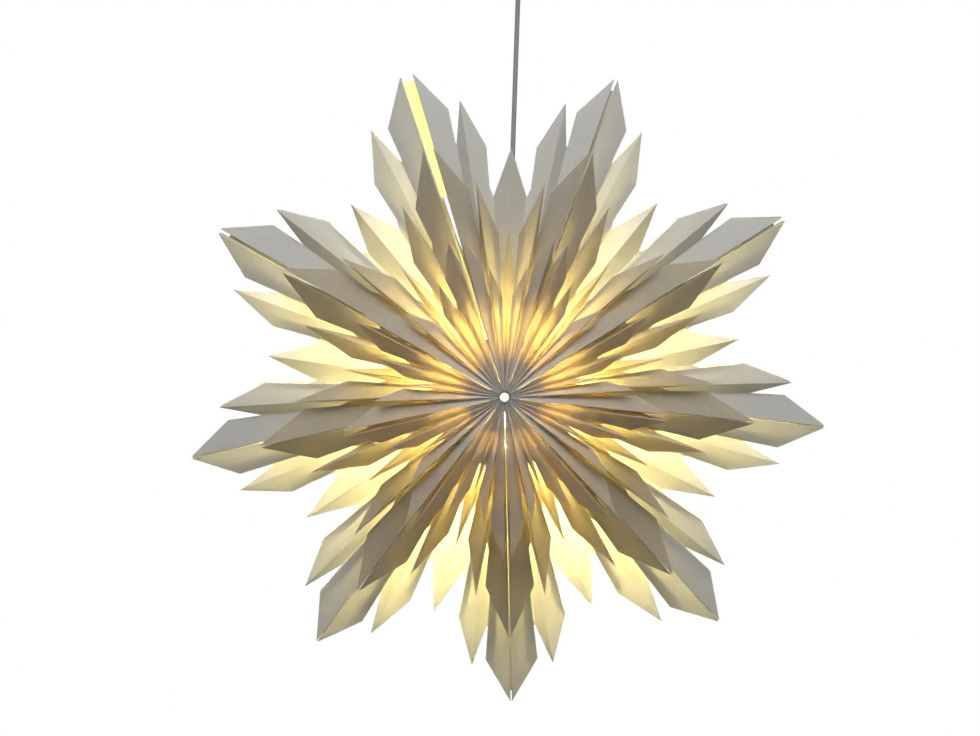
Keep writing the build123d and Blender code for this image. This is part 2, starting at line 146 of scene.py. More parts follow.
def new_material(name):
    """A new material, its empty tree, and the place on the piece, in metres."""
    material = bpy.data.materials.new(name)
    material.use_nodes = True
    tree = material.node_tree
    tree.nodes.clear()
    return material, tree, add_node(tree, "ShaderNodeTexCoord").outputs["Object"]


def finish(tree, shader):
    """Make this shader the tree's surface."""
    add_node(tree, "ShaderNodeOutputMaterial", {"Surface": shader})


def distance_off(tree, place, keep=(1.0, 1.0, 1.0), shift=(0.0, 0.0, 0.0)):
    """How far a shifted place is from the origin, in the directions that keep names."""
    kept = add_node(tree, "ShaderNodeVectorMath", {0: place, 1: keep, 2: shift},
                    operation="MULTIPLY_ADD").outputs["Vector"]
    return add_node(tree, "ShaderNodeVectorMath", {0: kept},
                    operation="LENGTH").outputs["Value"]


def dress(material, *names):
    """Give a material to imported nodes, in every slot they have."""
    for name in names:
        for place in nodes[name].material_slots:
            place.material = material
    dressed.update(names)


# %% [markdown]
# ## White paper
#
# The leaves are uncoated wood-free paper, creased by machine. It is matt, slightly
# toothed, and lets some light through. Held to a lamp it turns warm and shows its
# formation, the cloudy unevenness of the fibres, a few millimetres across. A long leaf
# is never quite flat either: between its creases the sheet cockles a little. So the
# sheet is a matt surface mixed with a translucent one. One cloudy pattern drives both
# the white and how much light comes through, and two bumps give cockle and tooth. Near
# the hub, where all folds are gathered, the share let through is scaled as painted light
# and shade. In the front crown it is far weaker there and tinted amber, painted shade,
# and paler further out. The middle crown starts close to the lamp, and there more of it
# comes through than further out, painted light. Each of the four kinds of sheet has its
# own tones, and the middle and front crowns get greyer, darker ones than the large
# leaves, painted shade on the same white paper.

# %% Paper
cloud_mm = 5.0
fibre_mm = 0.9                         # real fibres are finer; drawn coarse enough to show
cockle_mm = 38.0
cockle_height, tooth_height = 0.003, 0.0002
cloud_swing = 0.15                     # how much the share let through differs in the clouds
# Between these radii the painted light and shade near the hub fades out.
gathered_mm, spread_mm = 36.0, 95.0    # layered out to the first radius, single from the next
# A painted tint, given near the hub to the light that the front crown lets through.
amber = "#E4C474"                      # light that has come through several layers


def lit_paper(name, share, pale, deep, glow, hub_light_and_shade):
    """White paper between two tones, its lit colour, and the share it lets through.

    The last argument multiplies that share near the hub, where the folds are gathered:
    below 1 it is painted shade, less light coming through there than further out, and
    above 1 painted light, more.
    """
    white_paper, tree, place = new_material(name)
    clouds = add_node(tree, "ShaderNodeTexNoise",
                      {"Vector": place, "Scale": 1000 / cloud_mm, "Detail": 4.0,
                       "Roughness": 0.65}).outputs["Fac"]
    fibres = add_node(tree, "ShaderNodeTexNoise",
                      {"Vector": place, "Scale": 1000 / fibre_mm, "Detail": 3.0,
                       "Roughness": 0.7, "Distortion": 0.6}).outputs["Fac"]
    waves = add_node(tree, "ShaderNodeTexNoise",
                     {"Vector": place, "Scale": 1000 / cockle_mm,
                      "Detail": 1.0}).outputs["Fac"]
    radius = distance_off(tree, place, keep=(1.0, 0.0, 1.0), shift=(0.0, 0.0, -star.z))
    # Painted light and shade near the hub: the share let through, and its tint, change with the
    # distance from the hub.
    painted_hub_fade = add_node(tree, "ShaderNodeMapRange",
                      {"Value": radius, "From Min": gathered_mm / 1000,
                       "From Max": spread_mm / 1000, "To Min": hub_light_and_shade,
                       "To Max": 1.0}).outputs["Result"]
    sheet_white = add_node(tree, "ShaderNodeMix",
                           {"Factor": clouds, "A": colour(deep), "B": colour(pale)},
                           data_type="RGBA").outputs["Result"]
    cockle = add_node(tree, "ShaderNodeBump",
                      {"Height": waves, "Strength": 0.5,
                       "Distance": cockle_height}).outputs["Normal"]
    tooth = add_node(tree, "ShaderNodeBump",
                     {"Height": fibres, "Strength": 0.25, "Distance": tooth_height,
                      "Normal": cockle}).outputs["Normal"]
    dullness = add_node(tree, "ShaderNodeMapRange",
                        {"Value": clouds, "To Min": 0.78, "To Max": 0.88}).outputs["Result"]
    surface = add_node(tree, "ShaderNodeBsdfPrincipled",
                       {"Base Color": sheet_white, "Roughness": dullness, "IOR": 1.45,
                        "Specular IOR Level": 0.3, "Normal": tooth}).outputs["BSDF"]
    glow_tint = add_node(tree, "ShaderNodeMix",
                         {"Factor": painted_hub_fade, "A": colour(amber), "B": colour(glow)},
                         data_type="RGBA").outputs["Result"]
    through = add_node(tree, "ShaderNodeBsdfTranslucent",
                       {"Color": glow_tint}).outputs["BSDF"]
    let_through = add_node(tree, "ShaderNodeMapRange",
                           {"Value": clouds, "From Min": 0.3, "From Max": 0.7,
                            "To Min": (1 - cloud_swing) * share,
                            "To Max": (1 + cloud_swing) * share}).outputs["Result"]
    let_through = add_node(tree, "ShaderNodeMath", {0: let_through, 1: painted_hub_fade},
                           operation="MULTIPLY").outputs["Value"]
    finish(tree, add_node(tree, "ShaderNodeMixShader",
                          {0: let_through, 1: surface, 2: through}).outputs["Shader"])
    return white_paper


# Kind of sheet, share let through, pale tone, deep tone, tint of the light, and the
# painted light and shade near the hub. The middle and front crowns' darker tones are
# painted shade.
papers = (("large_leaves", 0.22, "#E8E8E6", "#DEDEDC", "#FFFAE4", 1.0),
          ("medium_leaves", 0.38, "#CBC7C0", "#C1BCB4", "#FCF0C4", 1.7),
          ("small_leaves", 0.40, "#D6D2CC", "#CAC6BF", "#FCECB8", 0.08),
          ("side_walls", 0.34, "#E8E8E6", "#DEDEDC", "#FFFAE4", 1.0))
paper_of = {}
for sheets, share, *tones, hub_light_and_shade in papers:
    paper_of[sheets] = lit_paper("white_paper_" + sheets, share, *tones, hub_light_and_shade)
    print(sheets, "let through a share of", share)
dress(paper_of["large_leaves"], *[n for n in nodes if n.startswith("large_leaves")])

# %% [markdown]
# ## Card
#
# The strips pasted into the seams are cut from white card, and the washers behind the
# rivets are punched from grey board. Both are pressed pulp: small soft clouds, darker
# flecks, and a slightly furry surface. A fine cell pattern under a cloud gives the
# flecks their even spread, which plain noise doesn't.

# %% Card
pulp_mm = 1.8
fleck_mm = 0.7
fleck_reach, fleck_depth = 0.3, 0.25   # of its cell, and of the way to the deep tone


def card(name, pale, deep):
    """Pressed card between two tones, with flecks."""
    board, tree, place = new_material(name)
    pulp = add_node(tree, "ShaderNodeTexNoise",
                    {"Vector": place, "Scale": 1000 / pulp_mm, "Detail": 5.0,
                     "Roughness": 0.7}).outputs["Fac"]
    flecks = add_node(tree, "ShaderNodeTexVoronoi",
                      {"Vector": place, "Scale": 1000 / fleck_mm}).outputs["Distance"]
    fleck_tone = add_node(tree, "ShaderNodeMapRange",
                          {"Value": flecks, "From Max": fleck_reach, "To Min": fleck_depth,
                           "To Max": 0.0}).outputs["Result"]
    tone = add_node(tree, "ShaderNodeMix",
                    {"Factor": pulp, "A": colour(deep), "B": colour(pale)},
                    data_type="RGBA").outputs["Result"]
    flecked = add_node(tree, "ShaderNodeMix",
                       {"Factor": fleck_tone, "A": tone, "B": colour(deep)},
                       data_type="RGBA").outputs["Result"]
    dullness = add_node(tree, "ShaderNodeMapRange",
                        {"Value": pulp, "To Min": 0.80, "To Max": 0.95}).outputs["Result"]
    fur = add_node(tree, "ShaderNodeBump",
                   {"Height": pulp, "Strength": 0.4, "Distance": 0.0002}).outputs["Normal"]
    finish(tree, add_node(tree, "ShaderNodeBsdfPrincipled",
                          {"Base Color": flecked, "Roughness": dullness,
                           "Normal": fur}).outputs["BSDF"])
    return board


pasted_card = card("pasted_white_card", "#E4E2DA", "#C9C6BB")
dress(card("grey_board", "#B9B5AA", "#8F8B80"), "hub_washers")
print("dressed so far:", len(dressed), "of", len(nodes))

# %% [markdown]
# ## Hook and loop tape
#
# The closing seam is held by small stick-on pads. Their face is a pile of nylon loops
# about 0.8 mm across, which looks like felt from further off. A cell pattern raises a
# round tuft in each cell and darkens the gaps between them with painted shade, and a
# little sheen stands for the lint.

# %% Hook and loop tape
tuft_mm, lint_mm = 0.8, 0.25

tape, tree, place = new_material("hook_and_loop_tape")
tufts = add_node(tree, "ShaderNodeTexVoronoi",
                 {"Vector": place, "Scale": 1000 / tuft_mm,
                  "Randomness": 0.7}).outputs["Distance"]
lint = add_node(tree, "ShaderNodeTexNoise",
                {"Vector": place, "Scale": 1000 / lint_mm, "Detail": 3.0}).outputs["Fac"]
# Painted shade: the gaps between the tufts are darker than the tufts.
shaded_tuft_tone = add_node(tree, "ShaderNodeMix",
                     {"Factor": tufts, "A": colour("#EFEEE8"), "B": colour("#A9A79E")},
                     data_type="RGBA").outputs["Result"]
dullness = add_node(tree, "ShaderNodeMapRange",
                    {"Value": lint, "To Min": 0.85, "To Max": 1.0}).outputs["Result"]
mound = add_node(tree, "ShaderNodeBump",
                 {"Height": tufts, "Strength": 0.8, "Distance": 0.0005},
                 invert=True).outputs["Normal"]
fuzz = add_node(tree, "ShaderNodeBump",
                {"Height": lint, "Strength": 0.4, "Distance": 0.0001,
                 "Normal": mound}).outputs["Normal"]
finish(tree, add_node(tree, "ShaderNodeBsdfPrincipled",
                      {"Base Color": shaded_tuft_tone, "Roughness": dullness,
                       "Sheen Weight": 0.4, "Normal": fuzz}).outputs["BSDF"])
print("tufts to a millimetre of tape:", 1 / tuft_mm)

# %% [markdown]
# ## Where the sheets stand
#
# The star is folded and opened by hand, so its nine segments differ a little in width,
# and each wall leans a little out of its seam, most of all in the third, where the fan
# is closed. A seam is given by its angle in degrees, counted from the right as the
# viewer sees it. Everything folded is worked out from these angles, so that a change to
# one seam moves all that is glued to it.

# %% Segments
paper = 0.00025                        # the sheet's thickness
wall_inset = 0.00032                   # a wall's inner face stands this far off its seam
seam_angles = (33.1, 72.1, 109.4, 153.2, 194.9, 235.8, 273.1, 314.1, 354.7)
seam_splays = (0.35, 0.30, 1.10, 0.40, 0.12, 0.12, 0.12, 0.12, 0.12)
half_segment = 20.0                    # the half segment that the fold angles are for


def polar(angle):
    """Unit vector in the plane of the star."""
    return Vector((cos(radians(angle)), 0.0, sin(radians(angle))))


class Segment:
    """The wedge between two seams: its two walls' angles and where they cross."""

    def __init__(self, index):
        self.seams = (index, (index + 1) % len(seam_angles))
        low, high = (seam_angles[seam] for seam in self.seams)
        high += 360 if high < low else 0
        self.low = low + seam_splays[self.seams[0]]
        self.high = high - seam_splays[self.seams[1]]
        self.middle = (self.low + self.high) / 2
        self.scale = (self.high - self.low) / 2 / half_segment
        half = radians((self.high - self.low) / 2)
        self.apex = star + polar(self.middle) * (wall_inset / sin(half))
        self.outward = (polar(self.low - 90), polar(self.high + 90))

    def wall_point(self, side, radius):
        """A point of a wall's outer face, in the plane of the star."""
        angle = (self.low, self.high)[side]
        return self.apex + polar(angle) * radius + self.outward[side] * paper


segments = [Segment(index) for index in range(len(seam_angles))]
print("segment widths:", [round(s.high - s.low, 1) for s in segments])

# %% [markdown]
# ## Two ways to build a sheet
#
# A pleated strip is a row of flat facets between rays that all leave one point. A
# Solidify modifier could thicken it, but it leaves the rims askew at such sharp folds.
# So the strip is built as a flat tube: at each ray four corners, half the paper's
# thickness to either side, on the line where the two facets' skins meet. A wall or a
# pasted strip is simpler: a polygon pushed along a straight line.

# %% Sheets
def tube_sheet(rings):
    """Corners and faces of a closed tube through rings of four corners."""
    corners = [corner for ring in rings for corner in ring]
    faces = [(0, 1, 2, 3), tuple(len(corners) - n for n in (1, 2, 3, 4))]
    for i in range(0, len(corners) - 4, 4):
        faces += [(i + k, i + 4 + k, i + 4 + (k + 1) % 4, i + (k + 1) % 4)
                  for k in range(4)]
    return corners, faces


def pushed_sheet(outline, push):
    """Corners and faces of a polygon pushed along a vector."""
    count = len(outline)
    corners = list(outline) + [corner + push for corner in outline]
    faces = [tuple(range(count)), tuple(range(2 * count - 1, count - 1, -1))]
    faces += [(k, k + count, (k + 1) % count + count, (k + 1) % count)
              for k in range(count)]
    return corners, faces


def mirrored(sheets):
    """The same sheets again behind the star's middle plane."""
    behind = []
    for corners, faces in sheets:
        behind.append(([Vector((x, -y, z)) for x, y, z in corners], faces))
    return sheets + behind


def paper_piece(name, sheets, material):
    """One piece made of closed sheets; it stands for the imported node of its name."""
    shape = bmesh.new()
    for corners, faces in sheets:
        made = [shape.verts.new(corner) for corner in corners]
        for face in faces:
            shape.faces.new([made[i] for i in face])
    bmesh.ops.recalc_face_normals(shape, faces=shape.faces)
    mesh = bpy.data.meshes.new(name + "_sheet")
    shape.to_mesh(mesh)
    shape.free()
    mesh.materials.append(material)
    piece = bpy.data.objects.new(name + "_sheet", mesh)
    bpy.context.scene.collection.objects.link(piece)
    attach(piece, "star")
    if name in nodes:
        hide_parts(name)
        dressed.add(name)
    return piece


def pleated(apex, folds, start, outward):
    """A strip folded along rays (angle, slope, reach), between two walls."""
    rays = [polar(angle) + Vector((0, slope, 0)) for angle, slope, _ in folds]
    normals = [a.cross(b).normalized() for a, b in zip(rays, rays[1:])]
    # Half the thickness, lengthened at each fold until both of its facets keep theirs.
    skins = [(before + after) * (paper / 2 / (1 + before.dot(after)))
             for before, after in zip(normals, normals[1:])]
    # The first and the last facet end flat on their walls.
    for wall, at in ((0, 0), (1, -1)):
        along = outward[wall].cross(rays[at])
        skins.insert(at % len(rays), along * (paper / 2 / normals[at].dot(along)))
    return tube_sheet([(apex + ray * start + skin, apex + ray * reach + skin,
                        apex + ray * reach - skin, apex + ray * start - skin)
                       for ray, skin, (_, _, reach) in zip(rays, skins, folds)])


print("thinnest piece, mm:", paper * 1000)

# %% [markdown]
# ## The middle and front crowns
#
# Each crown has five pointed leaves to a segment: a long main leaf on each wall, a side
# leaf next to each of these, and a short leaf in the middle. One table holds the folds
# of half a segment, and the other half mirrors it. Edges, tucks and valleys lie behind
# the leaves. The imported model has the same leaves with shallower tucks, and its middle
# crown ends well clear of the lamp. The photograph shows deep tucks, and a middle crown
# that shades the front one, so both are folded again here, a few millimetres deeper and
# further in.

# %% Middle and front crowns
# A fold is its degrees from the wall, its length as a share of the crown's reach, and its
# slope toward the middle plane. The rows are the main leaf, its edge, tuck and valley,
# then the side leaf, its edge, tuck and valley. "middle" is the short leaf in between.
medium_crown = dict(
    reach=0.269, start=0.038, depth=0.058,
    folds=((0.0, 1.0, 0.037), (7.0, 0.800, 0.100), (4.6, 0.740, 0.118),
           (8.2, 0.620, 0.134), (9.6, 0.835, 0.039), (15.8, 0.620, 0.100),
           (13.6, 0.550, 0.120), (17.0, 0.470, 0.137)),
    middle=(0.645, 0.030))
small_crown = dict(
    reach=0.172, start=0.0058, depth=0.102,
    folds=((0.0, 1.0, 0.0), (7.6, 0.800, 0.088), (5.0, 0.740, 0.118),
           (9.5, 0.600, 0.150), (10.8, 0.790, 0.008), (16.8, 0.615, 0.092),
           (14.4, 0.550, 0.122), (18.0, 0.430, 0.160)),
    middle=(0.600, 0.015))
small_root = (0.860, 0.100)            # the small crown's fold on the wall
flare, wide_flare = 1.0, 2.0           # degrees from there to its main leaves
wide_seam = 1                          # the seam where these stand further apart


def crown_folds(crown, segment):
    """A crown's folds across one segment, from its low wall to its high wall."""
    half = [(angle * segment.scale, slope, share * crown["reach"])
            for angle, share, slope in crown["folds"]]
    sides = [list(half), list(half)]
    if crown is small_crown:
        for side, seam in zip(sides, segment.seams):
            share, slope = small_root
            side[0] = (wide_flare if seam == wide_seam else flare,) + half[0][1:]
            side.insert(0, (0.0, slope, share * crown["reach"]))
    share, slope = crown["middle"]
    folds = [(segment.low + angle, *rest) for angle, *rest in sides[0]]
    folds.append((segment.middle, slope, share * crown["reach"]))
    return folds + [(segment.high - angle, *rest) for angle, *rest in reversed(sides[1])]


for crown, name in ((medium_crown, "medium_leaves"), (small_crown, "small_leaves")):
    for number, segment in enumerate(segments, 1):
        strip = pleated(segment.apex - Vector((0, crown["depth"], 0)),
                        crown_folds(crown, segment), crown["start"], segment.outward)
        paper_piece(f"{name}_{number}", mirrored([strip]), paper_of[name])
    print(name, "folds to a segment:", len(crown_folds(crown, segments[0])))

# %% [markdown]
# ## The side walls
#
# Two walls to a segment stand in the seams and show as thin ridges and lit slits
# between the leaves. Their outline has a tooth behind each main leaf. In front of the
# lamp the wall steps in, and under the front crown it runs on to the hub as a tongue.
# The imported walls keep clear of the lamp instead, so the steps are made here. An outline
# is drawn in pairs: how far from the hub, and how far in front of the middle plane.

# %% Side walls
wall_start, step_start, tongue_start = 0.062, 0.034, 0.008
step_depth, tongue_depth = 0.047, 0.086
small_tip = small_root[0] * small_crown["reach"]
medium_notch, large_notch, large_reach = 0.150, 0.215, 0.350
small_ridge = (small_crown["depth"], small_root[1])          # depth at the hub, and slope
medium_ridge = (medium_crown["depth"], medium_crown["folds"][0][2])
large_ridge = (0.036, 0.080)


def on_ridge(ridge, radius):
    """The corner of a wall that carries a crown's main fold at this radius."""
    depth, slope = ridge
    return radius, depth - slope * radius + paper / 2


half_wall = [(wall_start, step_depth), (step_start, step_depth),
             (step_start, tongue_depth), (tongue_start, tongue_depth),
             on_ridge(small_ridge, tongue_start), on_ridge(small_ridge, small_tip),
             on_ridge(medium_ridge, medium_notch),
             on_ridge(medium_ridge, medium_crown["reach"]),
             on_ridge(large_ridge, large_notch), on_ridge(large_ridge, large_reach)]
wall_outline = half_wall + [(radius, -depth) for radius, depth in reversed(half_wall)]
for number, segment in enumerate(segments, 1):
    walls = [pushed_sheet([segment.apex + polar(angle) * radius - Vector((0, depth, 0))
                           for radius, depth in wall_outline], outward * paper)
             for angle, outward in zip((segment.low, segment.high), segment.outward)]
    paper_piece(f"side_walls_{number}", walls, paper_of["side_walls"])
print("corners in a wall:", len(wall_outline))

# %% [markdown]
# ## What holds the seams
#
# Eight seams are pasted: a T of card between the two walls, and two narrow strips at the
# hub in seven of them. The ninth closes the fan with hook and loop pads. Each of these
# is a block between two walls, so one function finds its four corners. Every pair of
# numbers is a nearer and a further edge, from the hub or from the middle plane.

# %% Strips and pads
closing_seam = 2
open_hub_seam = 6                      # light shows through this one
bar, stem, hub_strip = (0.06225, 0.088), (0.088, 0.338), (0.014, 0.062)
bar_half, stem_half = 0.034, 0.007     # to either side of the middle plane
hub_depths = (0.087, 0.095)
pad_radii, pad_depths = (0.068, 0.083), (0.0185, 0.0335)


def in_seam(seam, radii):
    """The four corners of the gap at a seam, between two radii."""
    before, after = segments[seam - 1], segments[seam]
    return [before.wall_point(1, radii[0]), before.wall_point(1, radii[1]),
            after.wall_point(0, radii[1]), after.wall_point(0, radii[0])]


def block(corners, depths):
    """A block over four corners, between two depths behind the middle plane."""
    behind = Vector((0, depths[0], 0))
    return pushed_sheet([corner + behind for corner in corners],
                        Vector((0, depths[1] - depths[0], 0)))


strips = []
for seam in range(len(segments)):
    if seam != closing_seam:
        strips.append(block(in_seam(seam, bar), (-bar_half, bar_half)))
        strips.append(block(in_seam(seam, stem), (-stem_half, stem_half)))
        if seam != open_hub_seam:
            strips += mirrored([block(in_seam(seam, hub_strip), hub_depths)])
paper_piece("joining_strips", strips, pasted_card)

pads = []
for radii, depths in ((pad_radii, pad_depths), (hub_strip, hub_depths)):
    a, b, c, d = in_seam(closing_seam, radii)
    inner, outer = (a + d) / 2, (b + c) / 2
    pads += mirrored([block((a, b, outer, inner), depths)])
    pads += mirrored([block((inner, outer, c, d), depths)])
paper_piece("closure_pads", pads, tape)
print("strips:", len(strips), "pads:", len(pads))

# %% [markdown]
# ## The tab in the closing seam
#
# One seam stands open, and over its outer part a tab folded out of one wall covers the
# gap. In the photograph this tab is the brightest yellow of all: the white walls carry
# the lamp's light out along the gap to it. That takes dozens of bounces, which a render
# cuts short, so the tab gets a light of its own, strongest at its inner, lower end. For
# the rest it is the paper of the walls.

# %% Tab in the closing seam
tab_radii, tab_depth = (0.215, 0.343), 0.002
tab_gap = 0.0003                       # that it leaves to the other wall
glow_heights, glow_strengths = (-0.317, -0.197), (0.85, 0.5)

seam_paper = lit_paper("white_paper_closing_seam", *papers[-1][1:])
tree = seam_paper.node_tree
sheet = tree.nodes["Mix Shader"].outputs["Shader"]
place = tree.nodes["Texture Coordinate"].outputs["Object"]
height = add_node(tree, "ShaderNodeSeparateXYZ", {"Vector": place}).outputs["Z"]
fade = add_node(tree, "ShaderNodeMapRange",
                {"Value": height, "From Min": glow_heights[0], "From Max": glow_heights[1],
                 "To Min": glow_strengths[0], "To Max": glow_strengths[1]}).outputs["Result"]
glow = add_node(tree, "ShaderNodeEmission",
                {"Color": colour("#FFEC78"), "Strength": fade}).outputs["Emission"]
both = add_node(tree, "ShaderNodeAddShader", {0: sheet, 1: glow}).outputs["Shader"]
tree.links.new(both, tree.nodes["Material Output"].inputs["Surface"])

a, b, c, d = in_seam(closing_seam, tab_radii)
shy = segments[closing_seam].outward[0] * tab_gap
tab = block((a, b, c + shy, d + shy), (tab_depth, tab_depth + paper))
paper_piece("closing_tab", [tab], seam_paper)
print("tab, mm wide at its outer end:", round(1000 * (c - b).length, 1))

# %% [markdown]
# ## Moulded plastic
#
# The lampholder is moulded from white heat-proof plastic, the grip, its nut and the
# terminal block from nylon. The steel mould is spark-eroded, which leaves a fine even
# grain, and the melt leaves faint clouds where it flowed. One function makes them all
# from two tones, a gloss and a grain size.
#
# The rivets in the hubs are clear-white nylon. Their tails stand in the lamp's light and
# their shanks pass it on like a light guide, so in the photograph the head is by far the
# brightest spot on the front. They get a faint light of their own for that.

# %% Moulded plastic
flow_mm = 11.0
plastic_drift = 0.07                   # of the roughness, to either side


def moulded(name, pale, deep, dullness, grain_mm, glow=0.0):
    """Moulded plastic between two tones, with flow clouds and a mould's grain."""
    plastic, tree, place = new_material(name)
    flow = add_node(tree, "ShaderNodeTexNoise",
                    {"Vector": place, "Scale": 1000 / flow_mm, "Detail": 3.0,
                     "Distortion": 1.2}).outputs["Fac"]
    grain = add_node(tree, "ShaderNodeTexNoise",
                     {"Vector": place, "Scale": 1000 / grain_mm, "Detail": 2.0}).outputs["Fac"]
    tone = add_node(tree, "ShaderNodeMix",
                    {"Factor": flow, "A": colour(deep), "B": colour(pale)},
                    data_type="RGBA").outputs["Result"]
    gloss = add_node(tree, "ShaderNodeMapRange",
                     {"Value": flow, "To Min": dullness - plastic_drift,
                      "To Max": dullness + plastic_drift}).outputs["Result"]
    skin = add_node(tree, "ShaderNodeBump",
                    {"Height": grain, "Strength": 0.2, "Distance": 0.0001}).outputs["Normal"]
    finish(tree, add_node(tree, "ShaderNodeBsdfPrincipled",
                          {"Base Color": tone, "Roughness": gloss, "Normal": skin,
                           "Emission Color": tone,
                           "Emission Strength": glow}).outputs["BSDF"])
    return plastic


dress(moulded("white_lampholder_plastic", "#F0EFEA", "#E2E0D8", 0.34, 0.35),
      "lampholder_cap", "lampholder_body", "shade_ring")
dress(moulded("white_nylon", "#ECEBE5", "#DAD8CF", 0.46, 0.5), "cord_grip", "grip_nut")
dress(moulded("natural_nylon", "#E9E5D6", "#D3CDB8", 0.40, 0.6), "terminal_block")
dress(moulded("lit_nylon", "#FFFCEE", "#F8F3DE", 0.30, 0.4, glow=0.8), "hub_rivets")
print("dressed so far:", len(dressed), "of", len(nodes))

# %% [markdown]
# ## Plated metal and brass
#
# The stirrup is drawn zinc-plated wire, the bracket a pressed zinc-plated strap, and the
# screws are turned. The lamp's cap is nickel-plated, the contacts are bare brass. Each
# shows fine lines along the way it was worked, over broad soft stains where the plating
# is uneven. Noise stretched along one axis draws the lines, and a wide noise the stains.

# %% Metal
stain_mm = 7.0
line_mm = 0.25
metal_drift = 0.1


def metal(name, pale, deep, dullness, squeeze):
    """Worked metal between two tones; its lines run where squeeze is small."""
    plate, tree, place = new_material(name)
    stains = add_node(tree, "ShaderNodeTexNoise",
                      {"Vector": place, "Scale": 1000 / stain_mm, "Detail": 4.0,
                       "Roughness": 0.6}).outputs["Fac"]
    drawn = add_node(tree, "ShaderNodeMapping",
                     {"Vector": place, "Scale": squeeze}).outputs["Vector"]
    lines = add_node(tree, "ShaderNodeTexNoise",
                     {"Vector": drawn, "Scale": 1000 / line_mm, "Detail": 3.0,
                      "Roughness": 0.7}).outputs["Fac"]
    tone = add_node(tree, "ShaderNodeMix",
                    {"Factor": stains, "A": colour(deep), "B": colour(pale)},
                    data_type="RGBA").outputs["Result"]
    gloss = add_node(tree, "ShaderNodeMapRange",
                     {"Value": lines, "To Min": dullness - metal_drift,
                      "To Max": dullness + metal_drift}).outputs["Result"]
    scored = add_node(tree, "ShaderNodeBump",
                      {"Height": lines, "Strength": 0.15, "Distance": 0.0001}).outputs["Normal"]
    finish(tree, add_node(tree, "ShaderNodeBsdfPrincipled",
                          {"Base Color": tone, "Metallic": 1.0, "Roughness": gloss,
                           "Normal": scored}).outputs["BSDF"])
    return plate


dress(metal("zinc_plated_wire", "#CDCEC9", "#A9ABA8", 0.32, (1.0, 0.05, 1.0)),
      "wire_stirrup")
dress(metal("zinc_plated_strap", "#C6C8C6", "#9FA19F", 0.38, (0.05, 1.0, 1.0)),
      "ceiling_bracket")
dress(metal("zinc_plated_screws", "#BFC0BE", "#999B9A", 0.30, (0.1, 1.0, 1.0)),
      "canopy_screws", "terminal_screws")
dress(metal("contact_brass", "#DDBF72", "#B8954A", 0.28, (1.0, 1.0, 0.1)),
      "screw_shell", "centre_contact")
dress(metal("nickel_plated_cap", "#D3D1CB", "#AFADA6", 0.22, (1.0, 1.0, 0.1)),
      "bulb_cap")
print("dressed so far:", len(dressed), "of", len(nodes))

# %% [markdown]
# ## Porcelain carrier
#
# The contacts sit on a porcelain disc. Its glaze is glossy with faint waves where it ran
# in the kiln, and tiny iron specks show through. The specks are the very middles of a
# cell pattern's cells, one to a cell, so they stay few, round and small.

# %% Porcelain
run_mm, speck_cell_mm = 6.0, 2.5

porcelain, tree, place = new_material("glazed_porcelain")
run = add_node(tree, "ShaderNodeTexNoise",
               {"Vector": place, "Scale": 1000 / run_mm, "Detail": 2.0}).outputs["Fac"]
cells = add_node(tree, "ShaderNodeTexVoronoi",
                 {"Vector": place, "Scale": 1000 / speck_cell_mm}).outputs["Distance"]
speck = add_node(tree, "ShaderNodeMapRange",
                 {"Value": cells, "From Min": 0.05, "From Max": 0.09, "To Min": 0.6,
                  "To Max": 0.0}).outputs["Result"]
glaze = add_node(tree, "ShaderNodeMix",
                 {"Factor": run, "A": colour("#E9E6DC"), "B": colour("#F4F2EC")},
                 data_type="RGBA").outputs["Result"]
specked = add_node(tree, "ShaderNodeMix",
                   {"Factor": speck, "A": glaze, "B": colour("#8A7A66")},
                   data_type="RGBA").outputs["Result"]
gloss = add_node(tree, "ShaderNodeMapRange",
                 {"Value": run, "To Min": 0.08, "To Max": 0.2}).outputs["Result"]
waves = add_node(tree, "ShaderNodeBump",
                 {"Height": run, "Strength": 0.2, "Distance": 0.0004}).outputs["Normal"]
finish(tree, add_node(tree, "ShaderNodeBsdfPrincipled",
                      {"Base Color": specked, "Roughness": gloss,
                       "Normal": waves}).outputs["BSDF"])
dress(porcelain, "contact_carrier")
print("specks to a square centimetre:", round((10 / speck_cell_mm) ** 2))

# %% [markdown]
# ## The lamp
#
# The insulator at the tip of the lamp's cap is dark glass with a solder dot in its
# middle, told apart here by the distance from the axis. The globe is frosted inside:
# etched glass that blurs the light into one soft ball. The frost is an uneven roughness,
# and rays on their way to the light pass straight through, or the glass would block it.
# Inside stand four light-emitting sticks round a glass stem. Their yellow coat covers a
# row of tiny chips, which show as brighter beads. The beads are drawn 2.6 mm apart,
# about twice as coarse as the real ones, so that they show.

# %% Lamp tip
dent_mm = 0.9
solder_edge = (0.0022, 0.0026)         # solder within, glass beyond

tip, tree, place = new_material("lamp_tip_glass_and_solder")
off_axis = distance_off(tree, place, keep=(1.0, 1.0, 0.0))
solder = add_node(tree, "ShaderNodeMapRange",
                  {"Value": off_axis, "From Min": solder_edge[0], "From Max": solder_edge[1],
                   "To Min": 1.0, "To Max": 0.0}).outputs["Result"]
dents = add_node(tree, "ShaderNodeTexNoise",
                 {"Vector": place, "Scale": 1000 / dent_mm, "Detail": 4.0}).outputs["Fac"]
dark = add_node(tree, "ShaderNodeMix",
                {"Factor": dents, "A": colour("#1C1B22"), "B": colour("#34323C")},
                data_type="RGBA").outputs["Result"]
tone = add_node(tree, "ShaderNodeMix",
                {"Factor": solder, "A": dark, "B": colour("#B9BABB")},
                data_type="RGBA").outputs["Result"]
gloss = add_node(tree, "ShaderNodeMapRange",
                 {"Value": dents, "To Min": 0.15, "To Max": 0.45}).outputs["Result"]
pitted = add_node(tree, "ShaderNodeBump",
                  {"Height": dents, "Strength": 0.4, "Distance": 0.0002}).outputs["Normal"]
